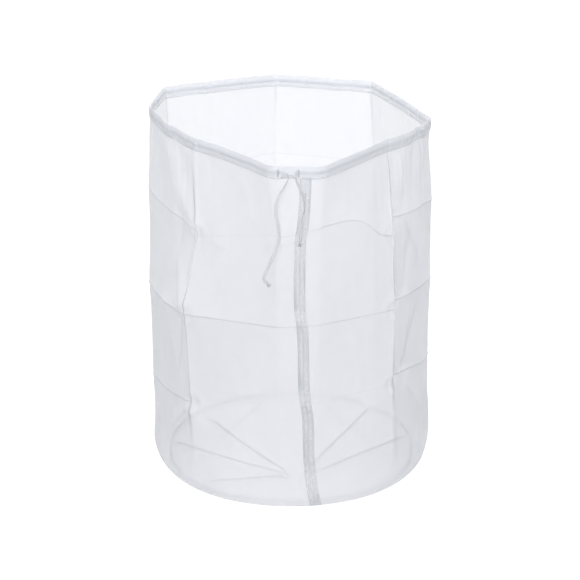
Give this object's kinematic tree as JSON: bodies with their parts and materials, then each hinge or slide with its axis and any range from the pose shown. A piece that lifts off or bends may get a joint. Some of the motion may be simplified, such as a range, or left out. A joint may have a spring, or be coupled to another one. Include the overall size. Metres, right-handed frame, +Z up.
{
  "type": "laundry bag",
  "caption": "Cylindrical drawstring laundry bag in fine translucent mesh, round flat bottom, open mouth with a hollow casing, side seam and two hanging cord ends.",
  "frame": {"origin": "centre of the bottom's underside, where the bag stands", "axes": "+Z up along the bag's axis; -Y is the front, with the side seam and the drawstring's opening; +X to the right seen from the front"},
  "size_m": [0.3022, 0.307, 0.38],
  "materials": {
    "mesh_cloth": "satin",
    "casing_cloth": "satin",
    "seam_tape": "satin",
    "drawstring_braid": "satin",
    "sewing_thread": "satin"
  },
  "bodies": {
    "bag": {"bottom_panel": "mesh_cloth", "side_wall": "mesh_cloth", "bottom_seam_binding": "seam_tape", "bottom_seam_stitching": "sewing_thread", "side_seam_tape": "seam_tape", "side_seam_stitching": "sewing_thread"},
    "mouth": {"drawstring_casing": "casing_cloth", "casing_stitching": "sewing_thread", "bar_tacks": "sewing_thread", "drawstring": "drawstring_braid"},
    "left_end": {"left_tail": "drawstring_braid", "left_tail_knot": "drawstring_braid"},
    "right_end": {"right_tail": "drawstring_braid", "right_tail_knot": "drawstring_braid"}
  },
  "joints": [
    {"name": "mouth_collapse", "type": "slide", "parent": "bag", "child": "mouth", "axis": [0, 0, -1], "range_m": [0, 0.24], "deforming": ["side_wall", "side_seam_tape", "side_seam_stitching"]},
    {"name": "left_tail_swing", "type": "hinge", "parent": "mouth", "child": "left_end", "pos_m": [-0.0025, -0.1513, 0.369], "axis": [-1, 0, 0], "range_deg": [0, 85]},
    {"name": "right_tail_swing", "type": "hinge", "parent": "mouth", "child": "right_end", "pos_m": [0.0045, -0.1513, 0.369], "axis": [-1, 0, 0], "range_deg": [0, 85]}
  ]
}
